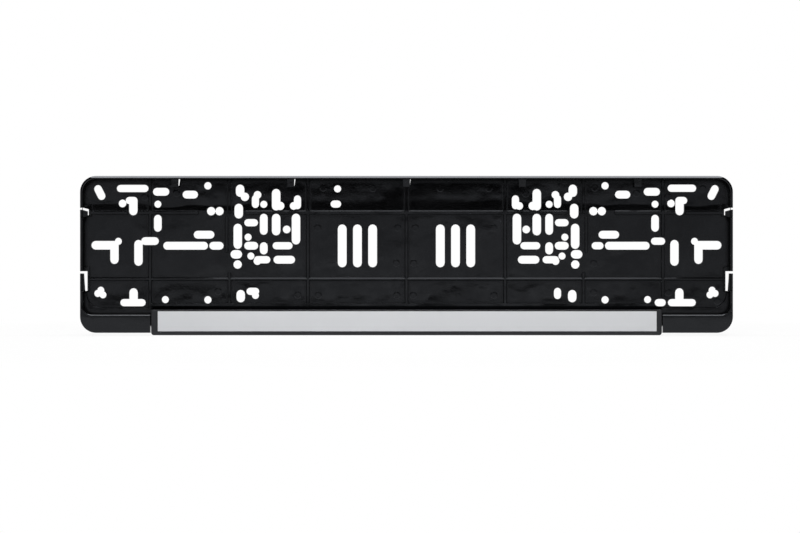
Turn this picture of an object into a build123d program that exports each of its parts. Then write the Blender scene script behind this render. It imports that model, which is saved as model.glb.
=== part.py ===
from build123d import *

import math
import os

# Number plate holder: a moulded tray that is screwed to a car, with a strip clipped along its lower edge.
# Everything is drawn flat: X runs to the right, Y runs up and Z runs forward from the mounting face.
# The origin is the middle of the screw pattern on the mounting face. All sizes are in millimetres.

# Number plate that the tray takes
PLATE_WIDTH = 520.0
PLATE_HEIGHT = 110.0
PLATE_SPACE = 4.4
PLATE_END_PLAY = 3.0
PLATE_TOP_PLAY = 0.4

# Tray walls and corners
PANEL = 2.0
SIDE_WALL = 2.0
TOP_WALL = 2.4
WALL_DRAFT = 0.2
OUTER_CORNER = 13.0
INNER_CORNER = 8.0
EDGE_ROUND = 1.2
TOP_BEVEL = 1.5
LIP_BEVEL = 0.4

# Lower rail, which is hollow from behind
RAIL_HEIGHT = 14.6
RAIL_WALL = 2.0
RAIL_SETBACK = 0.6
RAIL_LIP = 1.4
RAIL_RIB = 1.6
RAIL_RIB_COUNT = 2

# Raised band that the plate's lower edge lies on
REST_HEIGHT = 5.6
REST_SIDE = 2.1
REST_CORNER = 11.4
REST_TOP = 18.0

# Screw holes, measured from the tray's upper wall and from the ledge under the plate
SCREW_SPAN = 324.0
SCREW_HOLE = 6.0
SCREW_BELOW_TOP = 5.3
SCREW_ABOVE_LEDGE = 12.1

# Widths of the adjusting slots and holes, and the flats that stand for each of their half-round ends
WIDE_SLOT = 7.0
SLOT = 6.4
NARROW_SLOT = 5.9
END_FLATS = 6

# Lightening windows either side of the middle
WINDOW_OFFSET = 40.0
WINDOW_PITCH = 12.4
WINDOW_COUNT = 3
WINDOW_WIDTH = 7.2
WINDOW_HIGH = 15.0
WINDOW_LOW = -20.0

# Stiffening ribs on the front of the panel
RIB_HEIGHT = 1.0
RIB_WIDTH = 2.8
RIB_FLANK = 0.55
RIB_STEEP_FLANK = 0.3
RIB_BEVEL = 0.8
RIB_BEVEL_DEPTH = 0.56
RIB_CLEARANCE = 1.6
RIB_WALL_GAP = 4.6
INNER_RIB = 80.4
MIDDLE_RIB = 144.3
MIDDLE_RIB_JOG = 2.3
OUTER_RIB_FROM_WALL = 54.0
UPPER_RIB = 24.2
UPPER_RIB_INNER_END = 131.0
UPPER_RIB_OUTER_START = 170.0
LOWER_RIB = -29.5
JOG_TOP = 20.8
JOG_BOTTOM = -7.5
LOW_SEGMENT_TOP = -24.6

# Hooks that hold the plate's upper edge
HOOK_COUNT = 5
HOOK_PITCH = 94.0
HOOK_ROOT = 5.9
HOOK_TIP = 5.4
HOOK_REACH = 6.4
HOOK_THICKNESS = 2.0
HOOK_LEAD = 0.8
HOOK_SLOPE = 0.3
HOOK_SETBACK = 1.2
HOOK_SLOT_LEFT = 2.0
HOOK_SLOT_RIGHT = 3.4
HOOK_SLOT_TAPER = 0.7
HOOK_SLOT_DEPTH = 5.2

# Hooks and stops that hold the plate's ends
END_HOOK_HEIGHT = 23.6
END_HOOK_ROOT = 6.4
END_HOOK_TIP = 3.8
END_HOOK_REACH = 4.1
END_BRACE_REACH = 2.0
END_SLOT_LOW = 1.1
END_SLOT_HIGH = 4.8
END_SLOT_FALL = 1.1
END_PAD_REACH = 5.9
END_PAD_HIGH = 7.4
END_PAD_LOW = 1.6
STOP_HIGH = -25.0
STOP_LOW = -39.2
STOP_REACH = 1.2
STOP_TAPER = 0.8
STOP_SLOT_REACH = 3.0
STOP_NOTCH = 1.8
STOP_PAD_REACH = 4.4
STOP_PAD_HIGH = 5.0

# Bay in the rail that the strip clips into
BAY_PAD_HEIGHT = 9.6
BAY_PAD_FACE = 2.0
BAY_WEB = 1.0
BAY_SHELF = 2.0
CATCH_WALL = 2.0
CATCH_BACK = 5.0
CATCH_DROP = 8.9
CATCH_WINDOW_HEIGHT = 4.0
CATCH_WINDOW_SILL = 1.9
GUSSET = 1.6

# Retaining strip
STRIP_LENGTH = 413.6
STRIP_END_GAP = 1.1
STRIP_FRONT = 13.0
STRIP_WALL = 2.0
STRIP_RISE = 4.3
STRIP_DROP = 16.4
STRIP_PLATE_GAP = 0.2
STRIP_FLANGE_BACK = 1.0
STRIP_BEVEL_HEIGHT = 2.8
STRIP_BEVEL_DEPTH = 0.9
STRIP_EDGE_ROUND = 0.8
STRIP_CORNER = 2.0
STRIP_UPPER_CORNER = 1.0
STRIP_RIB = 1.5
STRIP_RIB_REACH = 3.0
STRIP_RIB_HEIGHT = 5.0

# Snap arms on the back of the strip
ARM_COUNT = 6
ARM_WIDTH = 12.0
ARM_THICKNESS = 1.8
ARM_FIT = 0.3
ARM_END_DISTANCE = 26.0
BARB = 1.4
BARB_LENGTH = 2.4

# Label let into the strip's front
LABEL_THICKNESS = 0.25
LABEL_RECESS = 0.4
LABEL_FIT = 0.3
LABEL_LEFT_MARGIN = 5.3
LABEL_RIGHT_MARGIN = 4.2
LABEL_TOP_MARGIN = 1.3
LABEL_BOTTOM_MARGIN = 3.2

# Places that follow from the sizes above
tray_half = PLATE_WIDTH / 2 + PLATE_END_PLAY
outer_half = tray_half + SIDE_WALL
tray_height = PLATE_HEIGHT + PLATE_TOP_PLAY
screw_rise = (tray_height - SCREW_BELOW_TOP - SCREW_ABOVE_LEDGE) / 2
tray_top = screw_rise + SCREW_BELOW_TOP
ledge = -screw_rise - SCREW_ABOVE_LEDGE
outer_top = tray_top + TOP_WALL
upper_corner = OUTER_CORNER - TOP_WALL
outer_bottom = ledge - RAIL_HEIGHT
stretch_across = tray_half / 263.0
stretch_up = screw_rise / 46.5
rib_front = PANEL + RIB_HEIGHT
rib_foot = RIB_WIDTH / 2
hook_back = rib_front + PLATE_SPACE
hook_front = hook_back + HOOK_THICKNESS
rim_front = hook_front + HOOK_SETBACK
rail_front = rim_front - RAIL_SETBACK
bay_half = STRIP_LENGTH / 2 + STRIP_END_GAP
pad_top = ledge + BAY_PAD_HEIGHT
pad_face_top = pad_top - RIB_FLANK
pad_face_low = pad_face_top - BAY_PAD_FACE
catch_front = CATCH_BACK + CATCH_WALL
catch_bottom = ledge - CATCH_DROP
window_low = catch_bottom + CATCH_WINDOW_SILL
strip_top = ledge + STRIP_RISE
strip_bottom = ledge - STRIP_DROP
strip_back = STRIP_FRONT - STRIP_WALL
strip_lip_back = hook_back + STRIP_PLATE_GAP
arm_span = STRIP_LENGTH - 2 * ARM_END_DISTANCE
arm_pitch = arm_span / (ARM_COUNT - 1)
arm_places = [-arm_span / 2 + arm_pitch * number for number in range(ARM_COUNT)]
gusset_places = [spot + arm_pitch / 2 for spot in arm_places[:-1]]

# Plane for sections across the long direction: its first axis is Z and its second is Y
SECTION = Plane(origin=(0, 0, 0), x_dir=(0, 0, 1), z_dir=(-1, 0, 0))

# Cuts start and end this far outside what they cut, and joined pieces reach this far into each other
OVERRUN = 5.0
OVERLAP = 0.5


def from_wall(distance):
    return tray_half - distance


def below_top(distance):
    return tray_top - distance


def above_ledge(distance):
    return ledge + distance


def rounded_outline(half_width, low, high, low_radius, high_radius):
    """An upright rectangle, centred across, with its own corner radius at the bottom and at the top."""
    outline = Pos(0, (low + high) / 2) * Rectangle(2 * half_width, high - low)
    outline = fillet(outline.vertices().group_by(Axis.Y)[0], low_radius)
    return fillet(outline.vertices().group_by(Axis.Y)[-1], high_radius)


def block(left, right, low, high, back, front):
    """A plain block between the given faces."""
    middle = Pos((left + right) / 2, (low + high) / 2, (back + front) / 2)
    return middle * Box(right - left, high - low, front - back)


def across(points, width):
    """A section, given as depth and height, drawn out to a width that is centred on the middle."""
    return extrude(SECTION * Polygon(*points, align=None), width / 2, both=True)


def raised(outline, back, front):
    """An outline drawn out from one depth to another."""
    return extrude(Pos(0, 0, back) * outline, front - back)


# Holes and slots of the panel: each is the centres of its two ends and its width

def place(x, y):
    """A place on the panel, in millimetres on the tray for a 520 by 110 plate."""
    return stretch_across * x, stretch_up * y


def round_hole(x, y, diameter):
    """A round hole, which is a slot of no length."""
    return place(x, y), place(x, y), diameter


def level_slot(inner, outer, y, width):
    """A level slot between the centres of its two ends."""
    return place(inner, y), place(outer, y), width


def upright_slot(x, low, high, width):
    """An upright slot between the centres of its two ends."""
    return place(x, low), place(x, high), width


def mounting_holes():
    """The holes that the car's screws go through."""
    corner = SCREW_SPAN / 2
    return [
        ((corner, screw_rise), (corner, screw_rise), SCREW_HOLE),
        ((corner, -screw_rise), (corner, -screw_rise), SCREW_HOLE),
        level_slot(165.1, 195.2, -2.4, SLOT),
    ]


def end_holes():
    """Adjusting holes beyond the outer rib."""
    return [
        (place(251.6, 43.9), place(248.7, 38.1), SLOT),
        upright_slot(222.8, 25.9, 33.9, WIDE_SLOT),
        level_slot(222.2, 226.2, 34.5, NARROW_SLOT),
        level_slot(238.2, 253.6, -2.0, WIDE_SLOT),
        upright_slot(238.2, -13.8, -2.0, WIDE_SLOT),
        round_hole(235.0, 1.2, NARROW_SLOT),
        upright_slot(218.6, -15.3, -1.1, WIDE_SLOT),
        upright_slot(222.6, -48.2, -40.5, WIDE_SLOT),
        round_hole(249.3, -38.7, NARROW_SLOT),
        round_hole(251.8, -41.3, NARROW_SLOT),
        round_hole(247.6, -42.4, NARROW_SLOT),
    ]


def outer_holes():
    """Adjusting holes between the middle rib and the outer rib."""
    return [
        round_hole(202.8, 31.5, NARROW_SLOT),
        upright_slot(202.8, 12.2, 19.7, SLOT),
        level_slot(196.6, 203.7, 41.6, SLOT),
        round_hole(196.7, -46.3, NARROW_SLOT),
        level_slot(173.2, 179.5, 39.3, SLOT),
        level_slot(159.8, 170.4, 6.6, SLOT),
        round_hole(159.3, 25.8, WIDE_SLOT),
        round_hole(152.5, 25.8, WIDE_SLOT),
    ]


def cluster_holes():
    """The dense cluster of adjusting holes between the inner rib and the middle rib."""
    return [
        level_slot(137.5, 140.1, -9.4, WIDE_SLOT),
        upright_slot(137.6, -1.5, 12.1, WIDE_SLOT),
        round_hole(137.7, -17.7, WIDE_SLOT),
        upright_slot(136.8, 23.3, 28.4, WIDE_SLOT),
        upright_slot(135.2, -45.1, -41.9, WIDE_SLOT),
        upright_slot(135.7, 40.9, 44.0, WIDE_SLOT),
        round_hole(131.8, 37.5, WIDE_SLOT),
        round_hole(129.2, 4.6, NARROW_SLOT),
        round_hole(126.9, -10.8, NARROW_SLOT),
        level_slot(124.0, 129.4, 16.4, NARROW_SLOT),
        level_slot(124.1, 129.2, -2.4, SLOT),
        round_hole(121.5, 39.1, SLOT),
        upright_slot(123.2, 31.3, 36.1, NARROW_SLOT),
        level_slot(113.9, 121.5, -13.8, NARROW_SLOT),
        round_hole(121.6, -14.9, SLOT),
        round_hole(116.4, 31.4, NARROW_SLOT),
        upright_slot(116.4, -6.3, -2.7, SLOT),
        upright_slot(116.4, 9.7, 20.5, SLOT),
        upright_slot(106.3, 9.5, 20.2, WIDE_SLOT),
        upright_slot(106.3, 29.8, 40.5, WIDE_SLOT),
        round_hole(103.0, 30.1, WIDE_SLOT),
        level_slot(95.8, 106.3, -2.4, NARROW_SLOT),
        level_slot(94.0, 105.3, -13.8, SLOT),
        upright_slot(90.1, 2.1, 20.3, WIDE_SLOT),
        round_hole(97.7, 10.9, SLOT),
        upright_slot(88.9, 30.3, 35.8, NARROW_SLOT),
        round_hole(92.0, 30.1, SLOT),
    ]


def window_slots():
    """Three upright windows, side by side."""
    first = WINDOW_OFFSET - WINDOW_PITCH * (WINDOW_COUNT - 1) / 2
    low = WINDOW_LOW + WINDOW_WIDTH / 2
    high = WINDOW_HIGH - WINDOW_WIDTH / 2
    places = [first + WINDOW_PITCH * number for number in range(WINDOW_COUNT)]
    return [((x, low), (x, high), WINDOW_WIDTH) for x in places]


def left_holes():
    """Adjusting holes that only the left half has, given as if on the right."""
    return [
        level_slot(213.3, 233.4, 44.3, NARROW_SLOT),
        round_hole(231.6, 32.1, SLOT),
        level_slot(205.1, 213.3, 1.4, SLOT),
        level_slot(215.6, 230.6, -48.8, NARROW_SLOT),
        level_slot(152.3, 157.7, -2.4, SLOT),
        level_slot(123.0, 127.6, -39.6, NARROW_SLOT),
        round_hole(123.2, -42.9, NARROW_SLOT),
        level_slot(56.2, 59.0, 31.6, NARROW_SLOT),
        round_hole(56.2, 44.0, NARROW_SLOT),
    ]


def right_holes():
    """Adjusting holes that only the right half has."""
    return [
        level_slot(215.9, 233.5, 44.5, NARROW_SLOT),
        round_hole(215.8, 32.1, SLOT),
        level_slot(202.3, 208.2, 1.3, NARROW_SLOT),
        level_slot(216.1, 233.2, -48.8, NARROW_SLOT),
        level_slot(205.3, 208.7, -48.8, NARROW_SLOT),
        level_slot(153.9, 157.9, -2.4, NARROW_SLOT),
        upright_slot(123.2, -43.0, -39.6, NARROW_SLOT),
    ]


def on_left(hole):
    """The same hole on the left half."""
    (start_x, start_y), (end_x, end_y), width = hole
    return (-start_x, start_y), (-end_x, end_y), width


def heading(start, end):
    """The direction from one point to another, in degrees."""
    return math.degrees(math.atan2(end[1] - start[1], end[0] - start[0]))


def round_outline(hole, margin):
    """A hole with true round ends, drawn with a margin all round."""
    start, end, width = hole
    middle = Pos((start[0] + end[0]) / 2, (start[1] + end[1]) / 2)
    if start == end:
        return middle * Circle(width / 2 + margin)
    length = math.dist(start, end)
    return middle * SlotCenterToCenter(length, width + 2 * margin, rotation=heading(start, end))


def half_round(centre, radius, facing):
    """Corners of a half-round end that faces an angle, drawn with flats."""
    turns = [math.radians(facing - 90 + 180 * corner / END_FLATS) for corner in range(END_FLATS + 1)]
    return [(centre[0] + radius * math.cos(turn), centre[1] + radius * math.sin(turn)) for turn in turns]


def flatted_outline(hole, margin):
    """A hole with flats for its round ends, drawn with a margin all round."""
    start, end, width = hole
    radius = width / 2 + margin
    if start == end:
        return Pos(*start) * RegularPolygon(radius, 2 * END_FLATS)
    facing = heading(start, end)
    return Polygon(*half_round(end, radius, facing), *half_round(start, radius, facing + 180), align=None)


def hole_outlines(margin):
    """Every hole of the panel, drawn with a margin all round."""
    both_sides = end_holes() + outer_holes() + cluster_holes() + window_slots()
    adjusting = both_sides + right_holes() + [on_left(hole) for hole in both_sides + left_holes()]
    mounting = mounting_holes() + [on_left(hole) for hole in mounting_holes()]
    outlines = [flatted_outline(hole, margin) for hole in adjusting]
    outlines += [round_outline(hole, margin) for hole in mounting]
    return Sketch() + outlines


def tray_outline(margin):
    """The outline of the hollow that takes the plate, widened by a margin."""
    low_corner = INNER_CORNER + margin
    high_corner = upper_corner + margin
    return rounded_outline(tray_half + margin, ledge - margin, tray_top + margin, low_corner, high_corner)


def tray():
    """The outer block with its rounded rim, the hollow for the plate and the lip along the rail."""
    outer = rounded_outline(outer_half, outer_bottom, outer_top, OUTER_CORNER, OUTER_CORNER)
    body = extrude(outer, rim_front)
    body = fillet(body.faces().sort_by(Axis.Z)[-1].edges(), EDGE_ROUND)
    body -= across(
        [
            (rim_front - TOP_BEVEL, outer_top),
            (rim_front + OVERRUN, outer_top - TOP_BEVEL - OVERRUN),
            (rim_front + OVERRUN, outer_top),
        ],
        2 * outer_half,
    )

    floor = tray_outline(-WALL_DRAFT)
    mouth = tray_outline(0)
    flare = tray_outline(LIP_BEVEL)
    lip_back = rim_front - LIP_BEVEL
    sections = [Pos(0, 0, PANEL) * floor, Pos(0, 0, lip_back) * mouth, Pos(0, 0, rim_front) * flare]
    body -= loft(sections, ruled=True)

    lip_corner = INNER_CORNER + RAIL_LIP
    lip = rounded_outline(
        outer_half + OVERLAP, ledge - RAIL_LIP, outer_top + OVERRUN, lip_corner, upper_corner
    )
    return body - raised(outer - lip, rail_front, rim_front + OVERRUN)


def rail_pockets():
    """The hollows behind the two ends of the rail, with cross ribs left standing."""
    corner = OUTER_CORNER - RAIL_WALL
    inner = rounded_outline(outer_half - RAIL_WALL, outer_bottom + RAIL_WALL, tray_top, corner, corner)
    start = bay_half + RAIL_WALL
    length = outer_half - RAIL_WALL - start
    middle = Pos(start + length, (outer_bottom + ledge) / 2)
    hollow = inner & middle * Rectangle(2 * length, RAIL_HEIGHT - 2 * RAIL_WALL)
    for number in range(1, RAIL_RIB_COUNT + 1):
        spot = start + length * number / (RAIL_RIB_COUNT + 1)
        hollow -= Pos(spot, (outer_bottom + ledge) / 2) * Rectangle(RAIL_RIB, RAIL_HEIGHT)
    pocket = raised(hollow, -OVERRUN, rail_front - RAIL_WALL)
    return pocket + mirror(pocket, about=Plane.YZ)


def open_floor(margin):
    """The outline of the panel inside the raised band, widened by a margin."""
    corner = REST_CORNER + margin
    high = above_ledge(REST_TOP) + 2 * REST_CORNER
    return rounded_outline(
        tray_half - REST_SIDE + margin, above_ledge(REST_HEIGHT) - margin, high, corner, OVERLAP
    )


def rest_band():
    """The raised band along the ledge and round its corners, level with the ribs and sloped like them."""
    top = above_ledge(REST_TOP)
    mouth = rounded_outline(tray_half + OVERLAP, ledge - OVERLAP, top, INNER_CORNER, OVERLAP)
    foot = Pos(0, 0, PANEL) * open_floor(-RIB_FLANK)
    crest = Pos(0, 0, rib_front) * open_floor(0)
    return raised(mouth, PANEL / 2, rib_front) - loft([foot, crest], ruled=True)


def rib_bar(length, upper_side):
    """A level rib centred on the middle, with its upper side given from the crest down to the panel."""
    return across(
        [
            (PANEL / 2, upper_side[-1][1]),
            (PANEL / 2, -rib_foot),
            (PANEL, -rib_foot),
            (rib_front, RIB_FLANK - rib_foot),
            *upper_side,
        ],
        length,
    )


def upright_rib(x, low, high):
    plain_side = [(rib_front, rib_foot - RIB_FLANK), (PANEL, rib_foot)]
    return Pos(x, (low + high) / 2, 0) * Rot(0, 0, 90) * rib_bar(high - low, plain_side)


def upper_rib(start, end):
    """A length of the upper level rib, which runs out into the panel above it."""
    footed_side = [
        (rib_front, rib_foot - RIB_STEEP_FLANK),
        (PANEL + RIB_BEVEL_DEPTH, rib_foot),
        (PANEL, rib_foot + RIB_BEVEL),
    ]
    return Pos((start + end) / 2, UPPER_RIB, 0) * rib_bar(abs(end - start), footed_side)


def lower_rib(start, end):
    """A length of the lower level rib, with a bevel along its upper edge."""
    bevelled_side = [
        (rib_front, rib_foot - RIB_STEEP_FLANK - RIB_BEVEL),
        (rib_front - RIB_BEVEL_DEPTH, rib_foot - RIB_STEEP_FLANK),
        (PANEL, rib_foot),
    ]
    return Pos((start + end) / 2, LOWER_RIB, 0) * rib_bar(abs(end - start), bevelled_side)


def ribs():
    """The stiffening ribs, cut back round the holes."""
    outer_rib = from_wall(OUTER_RIB_FROM_WALL)
    end = from_wall(RIB_WALL_GAP)
    top = tray_top + OVERLAP
    bottom = pad_face_low + OVERLAP
    bars = [
        upright_rib(0, bottom, top),
        upper_rib(-UPPER_RIB_INNER_END, UPPER_RIB_INNER_END),
        lower_rib(-end, end),
    ]
    for side in (-1, 1):
        bars += [
            upright_rib(side * INNER_RIB, bottom, top),
            upright_rib(side * MIDDLE_RIB, UPPER_RIB, top),
            upright_rib(side * (MIDDLE_RIB + MIDDLE_RIB_JOG), JOG_BOTTOM, JOG_TOP),
            upright_rib(side * MIDDLE_RIB, bottom, LOW_SEGMENT_TOP),
            upright_rib(side * outer_rib, ledge - OVERLAP, top),
            upper_rib(side * UPPER_RIB_OUTER_START, side * end),
        ]
    return Part() + bars - raised(hole_outlines(RIB_CLEARANCE), 0, rib_front + OVERRUN)


def strip_bay():
    """The undercut pad, shelf and catch wall behind the strip, with gussets between the catch windows."""
    length = 2 * bay_half + 2 * OVERLAP
    pad = across(
        [
            (0, pad_top + OVERLAP),
            (0, ledge),
            (BAY_WEB, ledge),
            (BAY_WEB, strip_top),
            (rib_front, pad_face_low),
            (rib_front, pad_face_top),
            (PANEL, pad_top),
            (PANEL, pad_top + OVERLAP),
        ],
        length,
    )
    half = length / 2
    shelf = block(-half, half, ledge - BAY_SHELF, ledge, 0, catch_front)
    catch = block(-half, half, catch_bottom, ledge - OVERLAP, CATCH_BACK, catch_front)
    bay = pad + shelf + catch
    brace = across(
        [
            (0, ledge - OVERLAP),
            (0, ledge - BAY_SHELF - OVERLAP),
            (CATCH_BACK, catch_bottom),
            (CATCH_BACK + OVERLAP, catch_bottom),
            (CATCH_BACK + OVERLAP, ledge - OVERLAP),
        ],
        GUSSET,
    )
    bay += [Pos(spot, 0, 0) * brace for spot in gusset_places]
    half_window = ARM_WIDTH / 2 + ARM_FIT
    window = block(
        -half_window,
        half_window,
        window_low,
        window_low + CATCH_WINDOW_HEIGHT,
        CATCH_BACK - OVERLAP,
        catch_front + OVERLAP,
    )
    return bay - [Pos(spot, 0, 0) * window for spot in arm_places]


def top_hook():
    """One hook under the upper wall, narrower, thinner and bevelled at its tip."""
    front_view = Polygon(
        (-HOOK_ROOT / 2, tray_top + OVERLAP),
        (-HOOK_TIP / 2, below_top(HOOK_REACH)),
        (HOOK_TIP / 2, below_top(HOOK_REACH)),
        (HOOK_ROOT / 2, tray_top + OVERLAP),
        align=None,
    )
    side_view = across(
        [
            (hook_back, tray_top + OVERLAP),
            (hook_front, tray_top + OVERLAP),
            (hook_front - HOOK_SLOPE, below_top(HOOK_REACH)),
            (hook_back + HOOK_LEAD, below_top(HOOK_REACH)),
            (hook_back, below_top(HOOK_REACH - HOOK_LEAD)),
        ],
        HOOK_ROOT + OVERRUN,
    )
    return raised(front_view, hook_back, hook_front) & side_view


def end_hook():
    """The hook at the right end, with a brace under its lower half."""
    root = tray_half + OVERLAP
    tip = from_wall(END_HOOK_REACH)
    outline = Polygon(
        (root, END_HOOK_HEIGHT - END_HOOK_ROOT / 2),
        (root, END_HOOK_HEIGHT + END_HOOK_ROOT / 2),
        (tip, END_HOOK_HEIGHT + END_HOOK_TIP / 2),
        (tip, END_HOOK_HEIGHT - END_HOOK_TIP / 2),
        align=None,
    )
    lower_half = Pos(tray_half, END_HOOK_HEIGHT - END_SLOT_LOW - END_HOOK_ROOT / 2)
    brace = outline & lower_half * Rectangle(2 * END_BRACE_REACH, END_HOOK_ROOT)
    return raised(outline, hook_back, hook_front) + raised(brace, PANEL / 2, hook_front)


def end_stop():
    """The low stop that steadies the plate's right end and reaches a little further at its foot."""
    root = tray_half + OVERLAP
    outline = Polygon(
        (root, STOP_HIGH),
        (from_wall(STOP_REACH), STOP_HIGH),
        (from_wall(STOP_REACH + STOP_TAPER), STOP_LOW),
        (root, STOP_LOW),
        align=None,
    )
    return raised(outline, hook_back, hook_front)


def sloped_pad(reach, low, high):
    """A raised pad against the right wall, level with the ribs and sloped like them."""
    width = 2 * reach
    outlines = [
        Pos(tray_half, (low + high) / 2, depth) * Rectangle(width + spread, high - low + spread)
        for depth, spread in ((PANEL, 2 * RIB_FLANK), (rib_front, 0))
    ]
    inside = block(0, tray_half + OVERLAP, low - OVERRUN, high + OVERRUN, 0, rib_front)
    return loft(outlines, ruled=True) & inside


def end_pads():
    """The pads round the openings at the right end."""
    hook_pad = sloped_pad(END_PAD_REACH, END_HOOK_HEIGHT - END_PAD_LOW, END_HOOK_HEIGHT + END_PAD_HIGH)
    stop_pad = sloped_pad(STOP_PAD_REACH, STOP_LOW, STOP_HIGH + STOP_PAD_HIGH)
    return hook_pad + stop_pad


def top_slot():
    """The opening behind one hook under the upper wall."""
    low = below_top(HOOK_SLOT_DEPTH)
    outline = Polygon(
        (-HOOK_SLOT_LEFT, tray_top),
        (-HOOK_SLOT_LEFT, low),
        (HOOK_SLOT_RIGHT - HOOK_SLOT_TAPER, low),
        (HOOK_SLOT_RIGHT, tray_top),
        align=None,
    )
    return raised(outline, -OVERRUN, hook_back)


def end_slots():
    """Openings behind the right end's hook and stop, open through the wall above each of them."""
    outside = outer_half + OVERRUN
    front = rim_front + OVERRUN
    hook_top = END_HOOK_HEIGHT + END_HOOK_ROOT / 2
    hook_bottom = END_HOOK_HEIGHT - END_HOOK_ROOT / 2
    slot_top = END_HOOK_HEIGHT + END_SLOT_HIGH
    slot_low = END_HOOK_HEIGHT - END_SLOT_LOW
    hook_slot = Polygon(
        (from_wall(END_HOOK_REACH), slot_low),
        (outside, slot_low),
        (outside, slot_top),
        (tray_half, slot_top),
        (from_wall(END_HOOK_REACH), slot_top - END_SLOT_FALL),
        align=None,
    )
    stop_top = STOP_HIGH + STOP_NOTCH
    return [
        raised(hook_slot, -OVERRUN, hook_back),
        block(tray_half, outside, hook_top, slot_top, hook_back - OVERLAP, front),
        block(tray_half, outside, hook_bottom, slot_top, hook_front, front),
        block(from_wall(STOP_SLOT_REACH), tray_half, STOP_LOW, STOP_HIGH, -OVERRUN, hook_back),
        block(from_wall(STOP_SLOT_REACH), outside, STOP_HIGH, stop_top, -OVERRUN, front),
        block(tray_half, outside, STOP_LOW, stop_top, hook_front, front),
    ]


def hook_places():
    first = -HOOK_PITCH * (HOOK_COUNT - 1) / 2
    return [first + HOOK_PITCH * number for number in range(HOOK_COUNT)]


def both_ends(shape):
    """A shape at the right end and its mirror image at the left end."""
    return [shape, mirror(shape, about=Plane.YZ)]


def make_base_frame():
    """The one-piece moulded tray."""
    body = tray()
    bay_space = block(-bay_half, bay_half, outer_bottom - OVERRUN, pad_top, -OVERRUN, rim_front + OVERRUN)
    body -= bay_space
    body -= rail_pockets()
    body += rest_band() - bay_space
    body += strip_bay()
    body += ribs()
    body += both_ends(end_pads())
    body -= raised(hole_outlines(0), -OVERRUN, rib_front + OVERRUN)
    body -= [Pos(spot, 0, 0) * top_slot() for spot in hook_places()]
    body -= both_ends(Part() + end_slots())
    body += [Pos(spot, 0, 0) * top_hook() for spot in hook_places()]
    return body + both_ends(end_hook() + end_stop())


def snap_arm():
    """One arm that passes through a catch window and hooks behind its sill."""
    low = window_low + ARM_FIT
    high = low + ARM_THICKNESS
    catch = CATCH_BACK - ARM_FIT
    return across(
        [
            (strip_back + OVERLAP, high),
            (strip_back + OVERLAP, low),
            (catch, low),
            (catch, low - BARB),
            (catch - BARB_LENGTH, high - ARM_THICKNESS / 2),
            (catch - BARB_LENGTH, high),
        ],
        ARM_WIDTH,
    )


def make_retaining_strip():
    """The channel-shaped strip over the plate's lower edge, with snap arms on its back."""
    half = STRIP_LENGTH / 2
    outline = rounded_outline(half, strip_bottom, strip_top, STRIP_CORNER, STRIP_UPPER_CORNER)
    body = raised(outline, STRIP_FLANGE_BACK, STRIP_FRONT)
    body = fillet(body.faces().sort_by(Axis.Z)[-1].edges(), STRIP_EDGE_ROUND)
    body -= across(
        [
            (STRIP_FRONT, strip_bottom + STRIP_BEVEL_HEIGHT),
            (STRIP_FRONT - STRIP_BEVEL_DEPTH, strip_bottom),
            (STRIP_FRONT, strip_bottom),
        ],
        STRIP_LENGTH + OVERRUN,
    )
    flange_top = strip_bottom + STRIP_WALL
    behind_lip = block(
        -half - OVERRUN, half + OVERRUN, flange_top, strip_top + OVERRUN, -OVERRUN, strip_lip_back
    )
    inside = block(
        STRIP_WALL - half, half - STRIP_WALL, flange_top, strip_top - STRIP_WALL, -OVERRUN, strip_back
    )
    body -= behind_lip + inside

    body -= raised(label_outline(LABEL_FIT), STRIP_FRONT - LABEL_RECESS, STRIP_FRONT + OVERRUN)
    rib = across(
        [
            (strip_back + OVERLAP, flange_top - OVERLAP),
            (strip_back - STRIP_RIB_REACH, flange_top - OVERLAP),
            (strip_back - STRIP_RIB_REACH, flange_top),
            (strip_back, flange_top + STRIP_RIB_HEIGHT),
            (strip_back + OVERLAP, flange_top + STRIP_RIB_HEIGHT),
        ],
        STRIP_RIB,
    )
    body += [Pos(spot, 0, 0) * rib for spot in gusset_places]
    return body + [Pos(spot, 0, 0) * snap_arm() for spot in arm_places]


def label_outline(margin):
    """The label's rectangle, with a margin all round."""
    left = LABEL_LEFT_MARGIN - STRIP_LENGTH / 2
    right = STRIP_LENGTH / 2 - LABEL_RIGHT_MARGIN
    low = strip_bottom + LABEL_BOTTOM_MARGIN
    high = strip_top - LABEL_TOP_MARGIN
    middle = Pos((left + right) / 2, (low + high) / 2)
    return middle * Rectangle(right - left + 2 * margin, high - low + 2 * margin)


def make_strip_label():
    """The thin label in the strip's recess."""
    back = STRIP_FRONT - LABEL_RECESS
    return raised(label_outline(0), back, back + LABEL_THICKNESS)


# Stand the flat drawing upright, so that the front faces -Y and +Z is up, and write each piece
os.makedirs("parts", exist_ok=True)
PIECES = {
    "base_frame": make_base_frame(),
    "retaining_strip": make_retaining_strip(),
    "strip_label": make_strip_label(),
}
for name, piece in PIECES.items():
    export_step(Plane.XZ * piece, f"parts/{name}.step")
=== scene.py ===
import math

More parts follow.
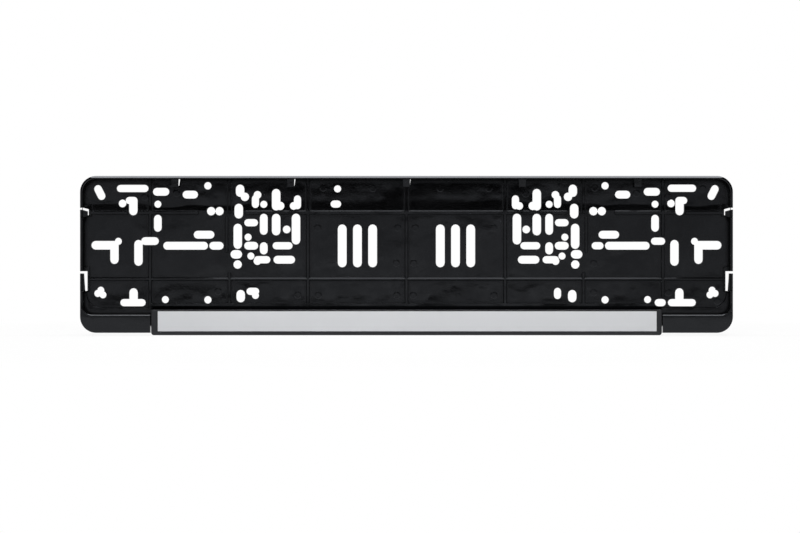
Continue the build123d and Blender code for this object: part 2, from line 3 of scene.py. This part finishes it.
import bmesh
import bpy
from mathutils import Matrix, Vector


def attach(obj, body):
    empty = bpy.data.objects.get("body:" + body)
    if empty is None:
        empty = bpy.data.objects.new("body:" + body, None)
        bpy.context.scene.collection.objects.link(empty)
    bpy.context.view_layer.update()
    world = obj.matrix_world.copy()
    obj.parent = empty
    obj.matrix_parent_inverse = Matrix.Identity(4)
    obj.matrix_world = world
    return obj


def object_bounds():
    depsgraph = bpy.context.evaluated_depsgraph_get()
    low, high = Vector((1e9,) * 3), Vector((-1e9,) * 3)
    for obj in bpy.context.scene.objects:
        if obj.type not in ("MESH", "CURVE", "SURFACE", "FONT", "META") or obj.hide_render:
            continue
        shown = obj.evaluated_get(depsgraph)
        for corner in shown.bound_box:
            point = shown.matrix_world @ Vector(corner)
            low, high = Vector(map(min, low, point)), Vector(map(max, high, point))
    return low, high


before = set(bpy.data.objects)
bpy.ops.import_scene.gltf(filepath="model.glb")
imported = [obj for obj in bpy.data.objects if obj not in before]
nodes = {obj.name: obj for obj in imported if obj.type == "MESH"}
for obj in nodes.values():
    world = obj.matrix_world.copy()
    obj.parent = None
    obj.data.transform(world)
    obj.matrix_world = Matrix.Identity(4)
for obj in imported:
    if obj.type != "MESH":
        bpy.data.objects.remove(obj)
cad_low, cad_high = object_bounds()
scene = bpy.context.scene
scene.view_settings.view_transform = "Standard"

MM = 0.001

# Camera: straight in front of the holder, at the distance that gives the picture's perspective
CAMERA_PLACE = (-5.27 * MM, -1610.6 * MM, -19.33 * MM)
SENSOR_WIDTH = 36.0
FIELD_WIDTH = 648.9 * MM
FIELD_DISTANCE = 1600.0 * MM
CLIP_START = 0.05
CLIP_END = 50.0

# Depth of the flat panel's front, in front of the mounting face
PANEL_FRONT = 2.0 * MM

# Relief of the moulded skin: slow waves, patches and fine speckle
WAVE_DEPTH = 2.0 * MM
PATCH_DEPTH = 0.35 * MM
SPECKLE_DEPTH = 0.02 * MM

# How far a crease reaches, both in the plastic's duller gloss and in the painted shade that darkens its
# reflections, and how dull it is there
CREASE_REACH = 4.0 * MM
CREASE_ROUGHNESS = 0.7

# Sink of the panel above the upper ribs, from their foot up to where it ends in the middle and at the sides
SINK_FOOT = 26.4 * MM
SINK_END = 36.0 * MM
SINK_SIDE_END = 31.5 * MM
SINK_MIDDLE = 75.0 * MM
SINK_SIDE = 150.0 * MM
SINK_WANDER = 5.0 * MM
SINK_DEPTH = 0.14 * MM

# Grain of the label's film
GRAIN_DEPTH = 0.02 * MM

# Witness marks of the ejector pins, as places on the panel in millimetres
EJECTOR_RADIUS = 2.3 * MM
EJECTOR_SLOPE = 0.7 * MM
EJECTOR_RISE = 0.06 * MM
EJECTOR_EDGE = 0.01 * MM
EJECTOR_ROOT = 0.05 * MM
EJECTOR_SIDES = 28
EJECTOR_PLACES = [
    (-187.6, 40.3),
    (-213.4, 37.1),
    (-67.9, 44.7),
    (-27.5, 44.3),
    (-72.4, 12.1),
    (-7.1, 12.1),
    (-8.3, -16.7),
    (-72.0, -43.0),
    (-7.9, -43.0),
    (7.1, 12.1),
    (5.9, -16.7),
    (5.5, -43.0),
    (27.5, 44.3),
    (67.2, 44.3),
    (71.0, 12.1),
    (71.4, -43.0),
    (97.4, 39.9),
    (153.6, 44.7),
    (187.5, 40.3),
    (241.6, 43.9),
    (-153.6, -39.8),
    (-88.6, -42.7),
    (152.7, -17.0),
    (152.6, -40.8),
    (213.7, -40.8),
    (253.6, -47.9),
    (213.3, 37.3),
]

# Studio floor, which sweeps up into a backdrop, in metres
FLOOR_GAP = 0.2 * MM
SWEEP_HALF_WIDTH = 6.0
SWEEP_FRONT = -0.6
SWEEP_BEND_START = 2.2
SWEEP_BEND_RADIUS = 1.2
SWEEP_BEND_STEPS = 12
SWEEP_TOP = 4.0
PAPER_WHITE = (0.88, 0.88, 0.88)

# Studio walls, by their height above the horizon: the bright part ends a little above it, higher at the sides
HORIZON_BAND = 0.05
WALL_EDGE_START = 0.026
WALL_EDGE_END = 0.039
WALL_EDGE_RISE = 0.09

PURE_WHITE = (1.0, 1.0, 1.0)


class Shader:
    """Small helper that adds nodes to a material or world and links them."""

    def __init__(self, owner):
        owner.use_nodes = True
        self.tree = owner.node_tree
        self.tree.nodes.clear()

    def add(self, kind, **settings):
        node = self.tree.nodes.new(kind)
        for name, value in settings.items():
            setattr(node, name, value)
        return node

    def link(self, source, target):
        self.tree.links.new(source, target)

    def feed(self, value, target):
        """Links a node's output to an input, or sets the input to a number."""
        if isinstance(value, bpy.types.NodeSocket):
            self.link(value, target)
        else:
            target.default_value = value

    def calculate(self, operation, *values):
        """The result of a sum on numbers and outputs of other nodes."""
        node = self.add("ShaderNodeMath", operation=operation)
        for value, target in zip(values, node.inputs):
            self.feed(value, target)
        return node.outputs["Value"]

    def split(self, vector):
        """The X, Y and Z of a vector."""
        node = self.add("ShaderNodeSeparateXYZ")
        self.link(vector, node.inputs["Vector"])
        return node.outputs

    def noise(self, coordinates, scale, detail, roughness=0.5, stretch=(1.0, 1.0, 1.0)):
        mapping = self.add("ShaderNodeMapping")
        mapping.inputs["Scale"].default_value = stretch
        self.link(coordinates, mapping.inputs["Vector"])
        noise = self.add("ShaderNodeTexNoise")
        noise.inputs["Scale"].default_value = scale
        noise.inputs["Detail"].default_value = detail
        noise.inputs["Roughness"].default_value = roughness
        self.link(mapping.outputs["Vector"], noise.inputs["Vector"])
        return noise.outputs["Fac"]

    def spread(self, value, low, high, start=0.3, end=0.7):
        """A value from start to end, turned into one from low to high."""
        remap = self.add("ShaderNodeMapRange")
        self.feed(value, remap.inputs["Value"])
        self.feed(start, remap.inputs["From Min"])
        self.feed(end, remap.inputs["From Max"])
        self.feed(low, remap.inputs["To Min"])
        self.feed(high, remap.inputs["To Max"])
        return remap.outputs["Result"]

    def ramp(self, value, stops):
        """A value turned into colours, by stops of a position and a colour."""
        ramp = self.add("ShaderNodeValToRGB")
        points = ramp.color_ramp.elements
        while len(points) < len(stops):
            points.new(0.5)
        for point, (position, colour) in zip(points, stops):
            point.position = position
            point.color = (*colour, 1.0)
        self.link(value, ramp.inputs["Fac"])
        return ramp.outputs["Color"]

    def bump(self, height, strength, distance, normal=None):
        bump = self.add("ShaderNodeBump")
        bump.inputs["Strength"].default_value = strength
        bump.inputs["Distance"].default_value = distance
        self.link(height, bump.inputs["Height"])
        if normal is not None:
            self.link(normal, bump.inputs["Normal"])
        return bump.outputs["Normal"]

    def mix(self, share, first, second):
        """Two shaders, blended by the second one's share."""
        node = self.add("ShaderNodeMixShader")
        self.link(share, node.inputs["Fac"])
        self.link(first, node.inputs[1])
        self.link(second, node.inputs[2])
        return node.outputs["Shader"]

    def surface(self, shader_output, kind="ShaderNodeOutputMaterial"):
        output = self.add(kind)
        self.link(shader_output, output.inputs["Surface"])


def panel_sink(shader, place, clouds):
    """Height that falls off above the upper ribs' foot, with a wandering end."""
    axes = shader.split(place)
    aside = shader.calculate("ABSOLUTE", axes["X"])
    reach = shader.spread(aside, SINK_END, SINK_SIDE_END, SINK_MIDDLE, SINK_SIDE)
    end = shader.calculate("MULTIPLY_ADD", shader.spread(clouds, -0.5, 0.5), SINK_WANDER, reach)
    fall = shader.spread(axes["Z"], 1.0, 0.0, SINK_FOOT, end)
    return shader.calculate("POWER", fall, 2.0)


def moulded_plastic(name, dark, light, gloss, wave, speckle, specular, edge, sink):
    """Injection-moulded plastic: sink marks, slow waves, patchy gloss, duller creases with painted shade
    darkening their reflections, and softened edges.
    """
    material = bpy.data.materials.new(name)
    shader = Shader(material)
    place = shader.add("ShaderNodeTexCoord").outputs["Object"]
    clouds = shader.noise(place, scale=24.0, detail=2.0, stretch=(1.0, 1.0, 1.3))
    patches = shader.noise(place, scale=70.0, detail=3.0, roughness=0.55)
    skin = shader.noise(place, scale=1400.0, detail=2.0)

    rounded = shader.add("ShaderNodeBevel", samples=6)
    rounded.inputs["Radius"].default_value = edge
    normal = shader.bump(panel_sink(shader, place, clouds), 1.0, sink, rounded.outputs["Normal"])
    normal = shader.bump(clouds, wave, WAVE_DEPTH, normal)
    normal = shader.bump(patches, wave, PATCH_DEPTH, normal)
    normal = shader.bump(skin, speckle, SPECKLE_DEPTH, normal)

    creases = shader.add("ShaderNodeAmbientOcclusion", samples=12, only_local=True)
    creases.inputs["Distance"].default_value = CREASE_REACH
    openness = creases.outputs["AO"]
    skin_roughness = shader.spread(patches, *gloss)
    crease_roughness = shader.spread(openness, CREASE_ROUGHNESS, 0.0, start=0.6, end=0.97)
    roughness = shader.calculate("MAXIMUM", skin_roughness, crease_roughness)
    # Painted shade: the specular tint darkens reflections in creases and corners by how enclosed they are,
    # with a slight blue tint on reflections elsewhere
    painted_crease_shade = shader.ramp(openness, [(0.5, (0.08, 0.085, 0.09)), (0.88, (0.88, 0.92, 1.0))])

    body = shader.add("ShaderNodeBsdfPrincipled")
    body.inputs["Specular IOR Level"].default_value = specular
    shader.link(painted_crease_shade, body.inputs["Specular Tint"])
    shader.link(shader.ramp(clouds, [(0.3, dark), (0.7, light)]), body.inputs["Base Color"])
    shader.link(roughness, body.inputs["Roughness"])
    shader.link(normal, body.inputs["Normal"])
    shader.surface(body.outputs["BSDF"])
    return material


def silver_film():
    """Satin silver film of the label, with a fine grain along its length."""
    material = bpy.data.materials.new("silver_film")
    shader = Shader(material)
    place = shader.add("ShaderNodeTexCoord").outputs["Object"]
    grain = shader.noise(place, scale=900.0, detail=3.0, roughness=0.6, stretch=(0.08, 1.0, 1.0))
    cloud = shader.noise(place, scale=9.0, detail=2.0)
    colour = shader.ramp(cloud, [(0.3, (0.638, 0.648, 0.666)), (0.7, (0.668, 0.678, 0.696))])
    film = shader.add("ShaderNodeBsdfPrincipled")
    film.inputs["Metallic"].default_value = 0.25
    shader.link(colour, film.inputs["Base Color"])
    shader.link(shader.spread(grain, 0.42, 0.55), film.inputs["Roughness"])
    shader.link(shader.bump(grain, 0.06, GRAIN_DEPTH), film.inputs["Normal"])
    shader.surface(film.outputs["BSDF"])
    return material


def dress(piece, material):
    """Gives a piece one material in place of what it came with."""
    piece.data.materials.clear()
    piece.data.materials.append(material)


def add_piece(name, mesh):
    """Turns a finished mesh into an object of the scene."""
    data = bpy.data.meshes.new(name)
    mesh.to_mesh(data)
    mesh.free()
    piece = bpy.data.objects.new(name, data)
    scene.collection.objects.link(piece)
    return piece


tray_plastic = moulded_plastic(
    "tray_plastic",
    dark=(0.0008, 0.0008, 0.0009),
    light=(0.0035, 0.0035, 0.0038),
    gloss=(0.04, 0.09),
    wave=0.14,
    speckle=0.03,
    specular=0.31,
    edge=0.15 * MM,
    sink=SINK_DEPTH,
)
strip_plastic = moulded_plastic(
    "strip_plastic",
    dark=(0.011, 0.011, 0.0115),
    light=(0.015, 0.015, 0.0155),
    gloss=(0.32, 0.42),
    wave=0.02,
    speckle=0.1,
    specular=0.35,
    edge=0.3 * MM,
    sink=0.0,
)
dress(nodes["base_frame"], tray_plastic)
dress(nodes["retaining_strip"], strip_plastic)
dress(nodes["strip_label"], silver_film())


def ejector_marks():
    """Low round pads left on the panel by the mould's ejector pins."""
    foot = EJECTOR_RADIUS + EJECTOR_SLOPE
    outline = [
        (foot, PANEL_FRONT - EJECTOR_ROOT),
        (foot, PANEL_FRONT + EJECTOR_EDGE),
        (EJECTOR_RADIUS, PANEL_FRONT + EJECTOR_RISE),
    ]
    turns = [2 * math.pi * side / EJECTOR_SIDES for side in range(EJECTOR_SIDES)]
    mesh = bmesh.new()
    for x, z in EJECTOR_PLACES:
        rings = []
        for radius, depth in outline:
            corners = [
                (x * MM + radius * math.cos(turn), -depth, z * MM + radius * math.sin(turn)) for turn in turns
            ]
            rings.append([mesh.verts.new(corner) for corner in corners])
        for lower, upper in zip(rings, rings[1:]):
            for side in range(EJECTOR_SIDES):
                following = (side + 1) % EJECTOR_SIDES
                mesh.faces.new((lower[side], lower[following], upper[following], upper[side]))
        mesh.faces.new(rings[-1])
        mesh.faces.new(rings[0][::-1])
    bmesh.ops.recalc_face_normals(mesh, faces=mesh.faces)
    piece = add_piece("ejector_marks", mesh)
    dress(piece, tray_plastic)
    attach(piece, "root")


ejector_marks()


def studio_white():
    """Paper that is white to the camera and in reflections, and keeps the holder's shadow."""
    material = bpy.data.materials.new("studio_white")
    shader = Shader(material)
    rays = shader.add("ShaderNodeLightPath").outputs
    mirrored = shader.calculate("MAXIMUM", rays["Is Glossy Ray"], rays["Is Transmission Ray"])
    seen = shader.calculate("MAXIMUM", rays["Is Camera Ray"], mirrored)
    reach = shader.add("ShaderNodeVectorMath", operation="LENGTH")
    shader.link(shader.add("ShaderNodeTexCoord").outputs["Object"], reach.inputs[0])
    cleared = shader.spread(reach.outputs["Value"], 0.85, 1.0, start=0.3, end=0.55)
    whiteness = shader.calculate("MULTIPLY", seen, cleared)
    paper = shader.add("ShaderNodeBsdfDiffuse")
    paper.inputs["Color"].default_value = (*PAPER_WHITE, 1.0)
    glow = shader.add("ShaderNodeEmission")
    glow.inputs["Color"].default_value = (*PURE_WHITE, 1.0)
    glow.inputs["Strength"].default_value = 1.0
    shader.surface(shader.mix(whiteness, paper.outputs["BSDF"], glow.outputs["Emission"]))
    return material


def stage_sheet():
    """Pale floor that sweeps up into a backdrop far behind the holder."""
    floor_level = cad_low.z - FLOOR_GAP
    profile = [(SWEEP_FRONT, floor_level), (SWEEP_BEND_START, floor_level)]
    for step in range(1, SWEEP_BEND_STEPS + 1):
        turn = math.radians(90 * step / SWEEP_BEND_STEPS)
        y = SWEEP_BEND_START + SWEEP_BEND_RADIUS * math.sin(turn)
        z = floor_level + SWEEP_BEND_RADIUS * (1 - math.cos(turn))
        profile.append((y, z))
    profile.append((SWEEP_BEND_START + SWEEP_BEND_RADIUS, SWEEP_TOP))
    mesh = bmesh.new()
    rows = [[mesh.verts.new((x, y, z)) for x in (-SWEEP_HALF_WIDTH, SWEEP_HALF_WIDTH)] for y, z in profile]
    for near, far in zip(rows, rows[1:]):
        mesh.faces.new((near[0], near[1], far[1], far[0]))
    sweep = add_piece("studio_sweep", mesh)
    for face in sweep.data.polygons:
        face.use_smooth = True
    dress(sweep, studio_white())


stage_sheet()


def studio_world():
    """White to the camera, and a soft grey room as light and in reflections."""
    world = bpy.data.worlds.new("studio")
    scene.world = world
    shader = Shader(world)
    direction = shader.add("ShaderNodeTexCoord").outputs["Generated"]
    axes = shader.split(direction)
    walls = shader.ramp(
        shader.spread(axes["Z"], 0.0, 1.0, -HORIZON_BAND, HORIZON_BAND),
        [
            (0.0, PURE_WHITE),
            (0.04, (0.9, 0.9, 0.9)),
            (0.10, (0.1, 0.1, 0.1)),
            (0.28, (0.1, 0.1, 0.1)),
            (0.32, PURE_WHITE),
            (0.43, PURE_WHITE),
            (0.50, (0.72, 0.72, 0.73)),
        ],
    )
    aside = shader.calculate("ABSOLUTE", axes["X"])
    lift = shader.calculate("MULTIPLY_ADD", aside, -WALL_EDGE_RISE, axes["Z"])
    below_edge = shader.spread(lift, 1.0, 0.02, WALL_EDGE_START, WALL_EDGE_END)
    side_fade = shader.spread(aside, 1.0, 0.86, start=0.02, end=0.13)
    fade = shader.calculate("MULTIPLY", below_edge, side_fade)
    unevenness = shader.noise(direction, scale=36.0, detail=4.0, roughness=0.65, stretch=(1.0, 1.0, 1.6))
    mottle = shader.calculate("MULTIPLY", fade, shader.spread(unevenness, 0.6, 1.25, start=0.35, end=0.65))
    glow = shader.add("ShaderNodeBackground")
    shader.link(walls, glow.inputs["Color"])
    shader.link(mottle, glow.inputs["Strength"])
    white = shader.add("ShaderNodeBackground")
    white.inputs["Color"].default_value = (*PURE_WHITE, 1.0)
    white.inputs["Strength"].default_value = 1.0
    rays = shader.add("ShaderNodeLightPath").outputs
    seen = shader.calculate("MAXIMUM", rays["Is Camera Ray"], rays["Is Transmission Ray"])
    room = shader.mix(seen, glow.outputs["Background"], white.outputs["Background"])
    shader.surface(room, "ShaderNodeOutputWorld")


studio_world()


def softbox(name, place, aim, width, height, power):
    """A rectangular soft light that points at a place."""
    data = bpy.data.lights.new(name, "AREA")
    data.shape = "RECTANGLE"
    data.size = width
    data.size_y = height
    data.energy = power
    lamp = bpy.data.objects.new(name, data)
    lamp.location = place
    lamp.rotation_euler = (Vector(aim) - Vector(place)).to_track_quat("-Z", "Y").to_euler()
    scene.collection.objects.link(lamp)


softbox("overhead_softbox", (0.0, 0.05, 1.0), aim=(0.0, 0.05, 0.0), width=1.1, height=0.3, power=10.0)
softbox("rib_light", (0.05, -0.38, 1.0), aim=(0.0, 0.0, 0.0), width=0.62, height=0.3, power=1.7)
softbox("front_fill", (-0.15, -2.25, 1.35), aim=(0.0, 0.0, 0.0), width=1.4, height=1.0, power=34.0)

camera_data = bpy.data.cameras.new("camera")
camera_data.sensor_width = SENSOR_WIDTH
camera_data.lens = SENSOR_WIDTH * FIELD_DISTANCE / FIELD_WIDTH
camera_data.clip_start = CLIP_START
camera_data.clip_end = CLIP_END
camera = bpy.data.objects.new("camera", camera_data)
camera.location = CAMERA_PLACE
camera.rotation_euler = (math.radians(90), 0.0, 0.0)
scene.collection.objects.link(camera)
scene.camera = camera
